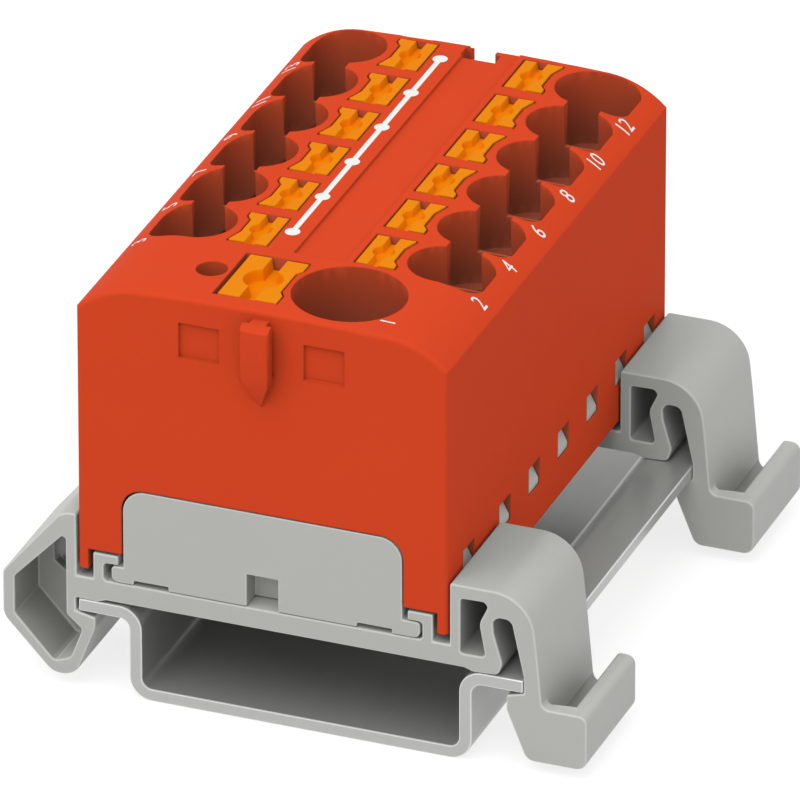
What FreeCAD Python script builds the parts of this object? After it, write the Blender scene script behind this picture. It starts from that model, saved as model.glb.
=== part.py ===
import FreeCAD, Part
import math
import os

from FreeCAD import Placement, Rotation, Vector

# Power distribution block on a short top-hat rail, in millimetres.
# Frame: origin on the rail's underside, at the middle of its width and of the block's length.
# Z points away from the rail's underside, Y runs along the rail, and X points to the
# side of the spring feet. The block sits off the rail's centre line, towards -X.

DIMENSIONS = [
    ("rail_width", 35.0, "across both brims"),
    ("rail_hat_width", 27.0, "outside the two legs"),
    ("rail_depth", 7.5, "underside to brim top"),
    ("rail_sheet", 1.0, "sheet thickness"),
    ("rail_bend", 0.8, "inside radius of a bend"),
    ("rail_reach", 3.0, "rail beyond the rear adapter"),
    ("block_width", 29.1, "housing across X"),
    ("foot_room", 5.9, "housing's side face to the brim's edge, room for the foot"),
    ("housing_height", 24.7, "crown of the dome above the deck"),
    ("dome_flat_in", 5.15, "end of the nearly flat crown inside the side face"),
    ("dome_flat_sag", 0.2, "fall of the crown at its ends"),
    ("dome_shoulder_in", 1.95, "shoulder point inside the side face"),
    ("dome_shoulder_drop", 0.92, "fall of the shoulder point"),
    ("dome_edge_drop", 2.3, "fall at the side faces"),
    ("housing_edge", 0.35, "rounding of the outer edges"),
    ("side_wall", 1.25, "housing side wall"),
    ("end_wall", 1.3, "housing end wall and cover plate"),
    ("skirt_wall", 0.8, "thin skirt below the side wall"),
    ("skirt_gap", 0.77, "skirt foot above the deck"),
    ("head_gap", 0.25, "wall foot above the rib heads"),
    ("ceiling_height", 15.6, "roof of the chamber above the deck"),
    ("pitch", 6.08, "from one small entry to the next"),
    ("small_rows", 6, "small entries on each side"),
    ("first_row", 12.25, "front face to the first small row"),
    ("rear_margin", 3.15, "last small row to the rear face"),
    ("entry_offset", 9.6, "small entry centre from block centre"),
    ("entry_radius", 2.7, "inner round of a small entry"),
    ("entry_rim", 1.55, "side face to the outer flat of a small entry"),
    ("entry_corner", 1.6, "outer corner radius of a small entry"),
    ("entry_floor", 2.7, "floor of a small entry above the chamber's roof"),
    ("entry_draft", 3.0, "draft of the entry walls, degrees"),
    ("gate_inner", 8.75, "gap between small entries, inner edge from block centre"),
    ("gate_outer", 11.4, "gap between small entries, outer edge"),
    ("gate_depth", 3.7, "gap between small entries below the crown"),
    ("wire_hole", 4.2, "round hole below a small entry"),
    ("large_entry_x", 4.95, "large entry from block centre"),
    ("large_entry_y", 5.05, "large entry from front face"),
    ("large_entry_radius", 4.25, "large entry at the top"),
    ("large_entry_floor", 1.7, "floor of the large entry above the chamber's roof"),
    ("large_wire_hole", 6.2, "round hole below the large entry"),
    ("test_hole", 2.35, "test pick-off hole"),
    ("test_hole_x", 5.9, "test hole from block centre"),
    ("test_hole_y", 5.2, "test hole from front face"),
    ("button_offset", 5.0, "small button centre from block centre"),
    ("button_width", 3.0, "small button across X"),
    ("button_length", 4.6, "small button along Y"),
    ("button_sink", 0.05, "button top below the crown's middle line"),
    ("button_head", 3.0, "thickness of a button head"),
    ("button_gap", 0.15, "play around a button"),
    ("button_waist", 0.42, "waist of a small button drawn in beside its entry"),
    ("button_arm", 0.56, "straight end beside the waist"),
    ("button_slant", 0.55, "short slant of the waist"),
    ("button_long_slant", 1.3, "slant of the waist that follows the entry"),
    ("button_tip", 0.15, "flat of the pointed end"),
    ("button_travel", 1.4, "stroke of a button"),
    ("large_button_x", 1.78, "large button from block centre, to -X"),
    ("large_button_y", 5.0, "large button from front face"),
    ("large_button_width", 4.6, "large button across X"),
    ("large_button_length", 6.6, "large button along Y"),
    ("large_button_waist", 0.36, "waist of the large button drawn in"),
    ("large_button_arm", 1.25, "straight ends beside its waist"),
    ("large_well_side", 0.22, "more room on the large button's straight side"),
    ("stem_width", 1.9, "button stem across X"),
    ("stem_length", 3.0, "button stem along Y"),
    ("slot_width", 0.85, "driver slot of a small button"),
    ("slot_depth", 0.6, "its depth"),
    ("slot_offset", 0.16, "slot from the button's middle, away from the entry"),
    ("slot_slant", 0.15, "a slot is this much narrower on each side at its floor"),
    ("cup_radius", 0.85, "round cup in a small button"),
    ("large_slot_width", 1.2, "driver slot of the large button"),
    ("large_slot_depth", 0.95, "its depth"),
    ("large_cup_radius", 1.5, "round cup in the large button"),
    ("channel_left", 1.2, "shallow channel edge, to -X"),
    ("channel_right", 2.85, "shallow channel edge, to +X"),
    ("channel_depth", 0.27, "shallow channel below the crown"),
    ("channel_start", 9.6, "channel from front face"),
    ("key_head_width", 2.26, "head of the coupling key"),
    ("key_neck_width", 1.3, "neck of the coupling key"),
    ("key_head_depth", 0.8, "head thickness"),
    ("key_neck_depth", 0.7, "neck reach"),
    ("key_play", 0.25, "play of a key in its slot"),
    ("key_top_drop", 0.7, "key top below the crown"),
    ("key_height", 4.4, "straight height of the key"),
    ("key_tip", 2.75, "tapered tip of the key"),
    ("key_bevel", 0.38, "bevel along the top of the key's head"),
    ("key_edge", 0.15, "bevel along its upright edges"),
    ("square_size", 3.2, "square recesses on the front"),
    ("square_height", 2.9, "their height"),
    ("square_offset", 4.9, "recess centre from block centre"),
    ("square_top_drop", 2.1, "recess top below the crown"),
    ("square_depth", 0.3, "recess depth"),
    ("window_width", 2.3, "latch window along Y"),
    ("window_height", 2.3, "latch window height"),
    ("window_sill", 3.8, "latch window foot above the deck"),
    ("first_window", 4.45, "front face to the first window"),
    ("latch_play", 0.1, "latch lug inside its window"),
    ("latch_slope", 1.6, "height of the slanted latch face"),
    ("latch_lead", 0.8, "reach of the slanted latch face"),
    ("cover_gap", 0.12, "shadow gap round the cover plate"),
    ("plate_gap", 0.42, "cover plate to the rib heads"),
    ("cover_plate_top", 7.9, "cover plate top above the deck"),
    ("cover_corner", 1.8, "upper corner of the cover plate"),
    ("cover_floor", 1.27, "cover floor thickness"),
    ("cover_floor_gap", 0.07, "cover floor above the deck"),
    ("cover_side", 1.0, "inner side wall of the cover"),
    ("cover_side_top", 7.2, "bar seat above the deck"),
    ("flange_left", 0.95, "cover flange past the plate, -X side"),
    ("flange_right", 1.4, "cover flange past the plate, +X side"),
    ("pull_notch_width", 2.48, "notch in the cover foot"),
    ("pull_notch_height", 2.66, "notch height"),
    ("pull_notch_depth", 1.8, "notch depth"),
    ("pull_notch_wall", 0.8, "wall around the notch"),
    ("relief_width", 2.75, "shallow relief under the cover"),
    ("relief_height", 0.35, "relief height"),
    ("relief_depth", 1.5, "relief depth"),
    ("relief_edge", 0.8, "relief from the side of the cover plate"),
    ("adapter_depth", 10.28, "rail adapter along Y"),
    ("deck_gap", 0.24, "deck underside above the brims"),
    ("deck_thickness", 1.66, "adapter deck"),
    ("wall_gap", 0.16, "adapter wall to housing"),
    ("wall_height", 5.1, "adapter wall above the deck"),
    ("rib_gap", 0.36, "skirt to rib stem"),
    ("rib_stem", 0.84, "rib stem thickness"),
    ("rib_head", 0.75, "rib head thickness"),
    ("rib_reach", 1.15, "rib head past its stem"),
    ("flange_play", 0.11, "flange to rib head"),
    ("hook_play", 0.06, "hook below the brim"),
    ("hook_reach", 1.3, "hook under the brim"),
    ("hook_lip", 0.35, "slant of the hook's upper face"),
    ("brim_play", 0.25, "loop beside the brim's edge"),
    ("hook_stem", 0.76, "loop's stem beside the brim"),
    ("toe_reach", 5.0, "foot's toe past the brim"),
    ("toe_drop", 2.08, "toe below the brim top"),
    ("toe_height", 4.46, "toe's block"),
    ("toe_arm", 1.5, "foot's arm past the brim where it meets the toe"),
    ("toe_rim", 1.45, "outer wall of the toe's groove"),
    ("toe_groove", 2.8, "depth of the driver groove in the toe"),
    ("toe_end_wall", 1.1, "wall that closes the groove at its front"),
    ("foot_top_drop", 2.65, "foot's arm below the top of its wall"),
    ("loop_width", 5.04, "inner side of the loop's hollow to the loop's outer side"),
    ("loop_strip", 0.95, "thickness of the loop's strip"),
    ("loop_web", 1.0, "web across the loop, halfway along it"),
    ("loop_window", 2.79, "open corner beside the web"),
    ("loop_web_top", 0.45, "web's level edge below the brim top"),
    ("bar_sheet", 1.0, "busbar thickness"),
    ("bar_side_gap", 0.4, "busbar to housing side wall"),
    ("bar_end_gap", 0.2, "busbar to housing end wall"),
    ("bar_tab_height", 6.2, "clamping tabs above the busbar web"),
    ("bar_tab_width", 3.2, "clamping tab along Y"),
    ("tab_play", 0.15, "large tab beside its wire hole"),
    ("spring_sheet", 0.35, "clamp spring strip"),
    ("spring_width", 3.2, "clamp spring along Y"),
    ("large_spring_sheet", 0.5, "large clamp spring strip"),
    ("large_spring_width", 6.0, "large clamp spring along Y"),
    ("spring_bend", 0.7, "inside radius of a spring's bends"),
    ("spring_drop", 1.6, "spring top below the roof of the chamber"),
    ("spring_fall", 0.36, "slope of the slanted leg"),
    ("spring_back", 3.1, "spring's upright from its button, towards the middle"),
    ("large_spring_back", 3.6, "the same of the large spring"),
    ("spring_foot", 0.5, "end of a spring's foot past its button"),
    ("spring_end_gap", 0.5, "tip of a slanted leg to its tab"),
    ("stem_gap", 0.25, "button stem above its spring"),
]

# Housing and cover are as long as the rows of clamps need, and the rail reaches past them
BLOCK_LENGTH = "(Sizes.first_row + (Sizes.small_rows - 1) * Sizes.pitch + Sizes.rear_margin)"

# The middle of the block from the rail's middle, towards -X
BLOCK_OFFSET = "(Sizes.block_width / 2 + Sizes.foot_room - Sizes.rail_width / 2)"

# Cuts start this far outside a face, and pads this far inside the solid they join
OVERLAP = 0.5

doc = FreeCAD.newDocument("distribution_block")
sheet = doc.addObject("Spreadsheet::Sheet", "Sizes")
for row, (name, value, meaning) in enumerate(DIMENSIONS, start=1):
    sheet.set("A%d" % row, meaning)
    sheet.set("B%d" % row, str(value))
    sheet.setAlias("B%d" % row, name)
doc.recompute()
size = {name: float(sheet.get(name)) for name, _, _ in DIMENSIONS}

# Levels above the rail's underside, and half widths of the block
brim_top = size["rail_depth"]
deck_bottom = brim_top + size["deck_gap"]
deck_top = deck_bottom + size["deck_thickness"]
crown = deck_top + size["housing_height"]
skirt_foot = deck_top + size["skirt_gap"]
floor_foot = deck_top + size["cover_floor_gap"]
floor_top = floor_foot + size["cover_floor"]
head_foot = floor_top + size["flange_play"]
head_top = head_foot + size["rib_head"]
wall_foot = head_top + size["head_gap"]
ceiling = deck_top + size["ceiling_height"]
bar_foot = deck_top + size["cover_side_top"]
bar_top = bar_foot + size["bar_sheet"]
half_width = size["block_width"] / 2
block_offset = half_width + size["foot_room"] - size["rail_width"] / 2
block_length = size["first_row"] + (size["small_rows"] - 1) * size["pitch"] + size["rear_margin"]
half_length = block_length / 2
front = -half_length
first_row = front + size["first_row"]
last_row = int(size["small_rows"]) - 1
chamber_half = half_width - size["side_wall"]
skirt_half = half_width - size["skirt_wall"]
stem_out = skirt_half - size["rib_gap"]
stem_in = stem_out - size["rib_stem"]
head_in = stem_in - size["rib_reach"]
cover_half = head_in - size["plate_gap"]
button_top = crown - size["button_sink"]
button_seat = button_top - size["button_head"] - size["button_travel"] - size["button_gap"]


# Outlines: a vertex is (x, y, radius), and every radius becomes a tangent arc

def rounded(vertices):
    """Lines and tangent arcs of a closed outline whose corners are rounded."""
    points = [(Vector(x, y, 0), radius) for x, y, radius in vertices]
    corners = []
    for index, (corner, radius) in enumerate(points):
        before = (points[index - 1][0] - corner).normalize()
        after = (points[(index + 1) % len(points)][0] - corner).normalize()
        half_turn = before.getAngle(after) / 2
        if radius == 0 or half_turn > math.pi / 2 - 1e-3:
            corners.append((corner, None, corner))
            continue
        reach = radius / math.tan(half_turn)
        inward = (before + after).normalize()
        middle = corner + inward * (radius / math.sin(half_turn) - radius)
        corners.append((corner + before * reach, middle, corner + after * reach))
    edges = []
    for index, (start, middle, end) in enumerate(corners):
        if middle is not None:
            edges.append(Part.Arc(start, middle, end))
        following = corners[(index + 1) % len(corners)][0]
        if (following - end).Length > 1e-6:
            edges.append(Part.LineSegment(end, following))
    return edges


def strip(path, thickness, bend):
    """Vertices round a bent strip: path is its middle line, bend the inside radius."""
    points = [Vector(x, y, 0) for x, y in path]
    sides = ([], [])
    for index, point in enumerate(points):
        ahead = points[index + 1] - point if index < len(points) - 1 else point - points[index - 1]
        behind = point - points[index - 1] if index > 0 else ahead
        ahead = Vector(ahead).normalize()
        behind = Vector(behind).normalize()
        turn = behind.x * ahead.y - behind.y * ahead.x
        mitre = Vector(-(behind.y + ahead.y), behind.x + ahead.x, 0).normalize()
        reach = thickness / 2 / math.cos(behind.getAngle(ahead) / 2)
        for side, sign in zip(sides, (1, -1)):
            corner = point + mitre * (sign * reach)
            radius = 0
            if abs(turn) > 1e-6:
                radius = bend if turn * sign > 0 else bend + thickness
            side.append((corner.x, corner.y, radius))
    return sides[0] + sides[1][::-1]


def box_outline(x_low, x_high, y_low, y_high, radius=0.0):
    return [(x_low, y_low, radius), (x_high, y_low, radius),
            (x_high, y_high, radius), (x_low, y_high, radius)]


def mirrored(vertices):
    """The same outline on the other side of the block's middle plane."""
    return [(-x, y, radius) for x, y, radius in reversed(vertices)]


def turned(vertices):
    """The same outline after half a turn about the origin."""
    return [(-x, -y, radius) for x, y, radius in vertices]


def moved(vertices, x_shift, y_shift):
    return [(x + x_shift, y + y_shift, radius) for x, y, radius in vertices]


# Features of a body

PLANES = {"top": "XY_Plane", "front": "XZ_Plane", "side": "YZ_Plane"}


def new_body(label):
    body = doc.addObject("PartDesign::Body", label)
    body.Label = label
    return body


def sketch_on(body, view, level, outlines, circles=()):
    """A sketch on one of the body's origin planes, moved to a level along its axis.

    view is top (x, y at a height), front (x, z at a depth) or side (y, z at a width).
    """
    plane = [item for item in body.Origin.OriginFeatures if item.Role == PLANES[view]][0]
    sketch = body.newObject("Sketcher::SketchObject", "%s_sketch" % body.Name)
    sketch.AttachmentSupport = (plane, [""])
    sketch.MapMode = "FlatFace"
    shift = -level if view == "front" else level
    sketch.AttachmentOffset = Placement(Vector(0, 0, shift), Rotation())
    for outline in outlines:
        sketch.addGeometry(rounded(outline), False)
    for x, y, radius in circles:
        sketch.addGeometry(Part.Circle(Vector(x, y, 0), Vector(0, 0, 1), radius), False)
    return sketch


def grow(body, sketch, length, back=False, both=False):
    """Pad a sketch along its normal by an expression or a length."""
    pad = body.newObject("PartDesign::Pad", "%s_pad" % body.Name)
    pad.Profile = sketch
    set_length(pad, length)
    pad.Reversed = back
    if both:
        pad.SideType = "Symmetric"
    sketch.Visibility = False
    return pad


def cut(body, sketch, length, back=False, both=False, taper=None):
    """Pocket a sketch against its normal by an expression or a length."""
    pocket = body.newObject("PartDesign::Pocket", "%s_pocket" % body.Name)
    pocket.Profile = sketch
    set_length(pocket, length)
    pocket.Reversed = back
    if both:
        pocket.SideType = "Symmetric"
    if taper:
        pocket.setExpression("TaperAngle", taper)
    return pocket


def set_length(feature, length):
    if isinstance(length, str):
        feature.setExpression("Length", length)
    else:
        feature.Length = length


def along_rows(body, features):
    """Repeat features at every small row along Y."""
    pattern = body.newObject("PartDesign::LinearPattern", "%s_rows" % body.Name)
    pattern.Originals = features
    axis = [item for item in body.Origin.OriginFeatures if item.Role == "Y_Axis"][0]
    pattern.Direction = (axis, [""])
    pattern.setExpression("Length", "Sizes.pitch * (Sizes.small_rows - 1)")
    pattern.setExpression("Occurrences", "Sizes.small_rows")
    body.Tip = pattern
    return pattern


def seat_in_block(body):
    """Move a body from the block's middle plane to its place beside the rail's."""
    body.setExpression(".Placement.Base.x", "-" + BLOCK_OFFSET)


# Rail section

def rail_section():
    body = new_body("rail_section")
    brim = size["rail_width"] / 2
    leg = (size["rail_hat_width"] - size["rail_sheet"]) / 2
    low = size["rail_sheet"] / 2
    high = size["rail_depth"] - low
    path = [(-brim, high), (-leg, high), (-leg, low), (leg, low), (leg, high), (brim, high)]
    profile = strip(path, size["rail_sheet"], size["rail_bend"])
    grow(body, sketch_on(body, "front", 0, [profile]), BLOCK_LENGTH + " + Sizes.rail_reach", both=True)
    body.setExpression(".Placement.Base.y", "Sizes.rail_reach / 2")
    return body


# Rail adapters: one moulded profile with a hooked spring loop on one side, a deck with
# two ribs that hold the cover's flange, and a hooked spring foot on the other side

def loop_sides():
    """The inner side of the loop's hollow and the outer side of the loop."""
    beside_housing = -block_offset - half_width - size["wall_gap"] - size["rib_stem"]
    beside_brim = -size["rail_width"] / 2 - size["brim_play"] - size["hook_stem"]
    inner = min(beside_housing, beside_brim)
    return inner, inner - size["loop_width"]


def adapter_outline():
    brim = size["rail_width"] / 2
    under = brim_top - size["rail_sheet"] - size["hook_play"]
    lip = under - size["hook_lip"]
    hook = brim - size["hook_reach"]
    stem = -brim - size["brim_play"]
    centre = -block_offset
    left_wall = centre - half_width - size["wall_gap"]
    right_wall = centre + half_width + size["wall_gap"]
    wall_top = deck_top + size["wall_height"]
    toe = brim + size["toe_reach"]
    toe_top = brim_top - size["toe_drop"]
    toe_foot = toe_top - size["toe_height"]
    arm_top = wall_top - size["foot_top_drop"]
    inner, loop_left = loop_sides()
    ribs = []
    for side in (-1, 1):
        rib = [(centre + side * stem_out, deck_top, 0), (centre + side * stem_out, head_top, 0),
               (centre + side * head_in, head_top, 0), (centre + side * head_in, head_foot, 0),
               (centre + side * stem_in, head_foot, 0.3), (centre + side * stem_in, deck_top, 0.3)]
        ribs.append(rib if side < 0 else rib[::-1])
    foot = [
        (right_wall, deck_top, 0), (right_wall, wall_top, 0.2),
        (brim + 0.55, wall_top, 3.3), (brim + 1.1, brim_top + 2.2, 6.0),
        (brim + size["toe_arm"], toe_top, 0.6), (toe, toe_top, 0.7), (toe, toe_foot, 0.9),
        (brim + 0.3, toe_foot, 0.9), (hook, brim_top - 2.6, 0.6), (hook, lip, 0),
        (brim + 0.05, under, 0), (brim + 0.05, brim_top + 0.25, 0.4),
        (brim - 0.95, arm_top + 0.5, 0.6), (brim - 2.4, arm_top + 0.5, 0.6),
        (brim - 2.3, arm_top - 0.85, 1.2), (brim - 1.6, brim_top + 1.1, 0.6),
        (brim - 1.95, brim_top + 0.1, 0.5), (brim - 3.9, brim_top, 0.4),
        (brim - 4.6, deck_bottom, 0.4)]
    loop = [
        (-brim + 2.2, deck_bottom, 0.4), (-brim + 1.5, brim_top, 0.3), (stem, brim_top + 0.05, 0),
        (stem, under, 0), (-hook, lip, 0), (-hook, brim_top - 2.3, 1.2),
        (-brim - 0.35, toe_foot - 0.15, 1.6), (-brim - 2.2, toe_foot, 1.3), (loop_left, brim_top - 2.5, 1.4),
        (loop_left, brim_top + 1.2, 0.9), (inner - 0.3, wall_top, 1.6), (left_wall, wall_top, 0.2),
        (left_wall, deck_top, 0)]
    return ribs[0] + ribs[1] + foot + loop


def foot_hollow():
    """The closed hollow between the foot's arm and its wall."""
    brim = size["rail_width"] / 2
    left = -block_offset + half_width + size["wall_gap"] + size["rib_stem"]
    top = deck_top + size["wall_height"] - 1.1
    return [(left, top, 0.25), (left, brim_top + 1.38, 0.25), (brim - 2.95, brim_top + 1.38, 0.3),
            (brim - 3.45, brim_top + 4.1, 1.2), (brim - 2.6, top + 0.05, 0.4)]


def toe_groove():
    """The groove in the toe that takes a driver, down beside the foot's arm."""
    brim = size["rail_width"] / 2
    toe_top = brim_top - size["toe_drop"]
    arm = brim + size["toe_arm"]
    lean = (size["toe_arm"] - 1.1) / (brim_top + 2.2 - toe_top)
    floor = toe_top - size["toe_groove"]
    toe = brim + size["toe_reach"]
    rim = toe - size["toe_rim"]
    return [(arm - lean, toe_top + 1, 0), (arm + lean * size["toe_groove"], floor, 0.9), (rim, floor, 0.5),
            (rim, toe_top, 0.3), (toe, toe_top, 0), (toe, toe_top + 1, 0)]


def loop_hollow(margin=0.0):
    """The open middle of the spring loop, or a line this margin outside it."""
    brim = size["rail_width"] / 2
    inner, outer = loop_sides()
    right = inner + margin
    left = outer + size["loop_strip"] - margin
    return [(right, deck_top + 2.9 + margin, 0), (right - 0.3, deck_top + 3.05 + margin, 0),
            (left, brim_top + 0.9 + margin, 0.4), (left, brim_top - 2.2 - margin, 0.4),
            (-brim - 2.0, brim_top - 5.6 - margin, 0.5), (-brim - 0.7, brim_top - 5.1 - margin, 0.7),
            (-brim + 0.25 + margin, brim_top - 2.55, 0.4), (right, brim_top - 1.5 + margin, 0.6)]


def loop_web():
    """The web that fills the loop's hollow up to an open corner beside the housing."""
    around = loop_hollow(0.25)
    edge = loop_sides()[0] - size["loop_window"]
    level = brim_top - size["loop_web_top"]
    (near_x, near_z, _), (far_x, far_z, _) = around[1], around[2]
    rim = far_z + (near_z - far_z) * (edge - far_x) / (near_x - far_x)
    window = [(around[0][0], level, 0), (edge + 0.75, level, 0), (edge, level + 0.6, 0), (edge, rim, 0)]
    return window + around[2:]


def rail_adapter(label, at_rear):
    body = new_body(label)
    sketch = sketch_on(body, "front", 0, [adapter_outline(), foot_hollow(), loop_hollow()])
    grow(body, sketch, "Sizes.adapter_depth", back=True)
    middle = size["adapter_depth"] / 2 - size["loop_web"] / 2
    grow(body, sketch_on(body, "front", middle, [loop_web()]), "Sizes.loop_web", back=True)
    groove = sketch_on(body, "front", size["toe_end_wall"], [toe_groove()])
    cut(body, groove, 2 * size["adapter_depth"])
    place = "-%s / 2" % BLOCK_LENGTH
    if at_rear:
        place = "%s / 2 - Sizes.adapter_depth" % BLOCK_LENGTH
    body.setExpression(".Placement.Base.y", place)
    return body


# Housing

def dome_profile():
    """The shell's section: crown arc, two shoulder arcs, straight sides and a flat foot."""
    flat = half_width - size["dome_flat_in"]
    flat_level = crown - size["dome_flat_sag"]
    shoulder = half_width - size["dome_shoulder_in"]
    shoulder_level = crown - size["dome_shoulder_drop"]
    edge_level = crown - size["dome_edge_drop"]
    arcs = [
        Part.Arc(Vector(-half_width, edge_level, 0), Vector(-shoulder, shoulder_level, 0),
                 Vector(-flat, flat_level, 0)),
        Part.Arc(Vector(-flat, flat_level, 0), Vector(0, crown, 0), Vector(flat, flat_level, 0)),
        Part.Arc(Vector(flat, flat_level, 0), Vector(shoulder, shoulder_level, 0),
                 Vector(half_width, edge_level, 0))]
    corners = [Vector(half_width, edge_level, 0), Vector(half_width, skirt_foot, 0),
               Vector(-half_width, skirt_foot, 0), Vector(-half_width, edge_level, 0)]
    return arcs + [Part.LineSegment(a, b) for a, b in zip(corners, corners[1:])]


def entry_outline():
    """Mouth of a small entry: round towards the buttons, square towards the side face."""
    radius = size["entry_radius"]
    outer = half_width - size["entry_rim"] - size["entry_offset"]
    corner = size["entry_corner"]
    outline = [(-radius, -radius, radius), (outer, -radius, corner), (outer, radius, corner),
               (-radius, radius, radius)]
    return moved(outline, size["entry_offset"], 0)


def button_outline(width, length, waist, ends, play, side_play=0.0):
    """A button's head: straight on one side, with a waist beside its entry on the other.

    ends holds the straight end and the slant at the front of the waist, then at its rear.
    """
    half = width / 2 + play
    end = length / 2
    drawn_in = half - waist
    front_arm, front_slant, rear_arm, rear_slant = ends
    return [(-half - side_play, -end - play, 0), (half, -end - play, 0), (half, -end + front_arm, 0),
            (drawn_in, -end + front_arm + front_slant, 0), (drawn_in, end - rear_arm - rear_slant, 0),
            (half, end - rear_arm, 0), (half, end + play, 0), (-half - side_play, end + play, 0)]


def small_button_outline(play):
    ends = (size["button_arm"], size["button_slant"], size["button_tip"], size["button_long_slant"])
    return button_outline(size["button_width"], size["button_length"], size["button_waist"], ends, play)


def large_button_outline(play, side_play=0.0):
    ends = (size["large_button_arm"], size["button_slant"]) * 2
    return button_outline(size["large_button_width"], size["large_button_length"],
                          size["large_button_waist"], ends, play, side_play)


def window_rows():
    """Distances of the latch windows along Y, one for each row of clamps."""
    return [front + size["first_window"]] + [
        first_row - 0.4 + row * size["pitch"] for row in range(last_row + 1)]


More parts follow.
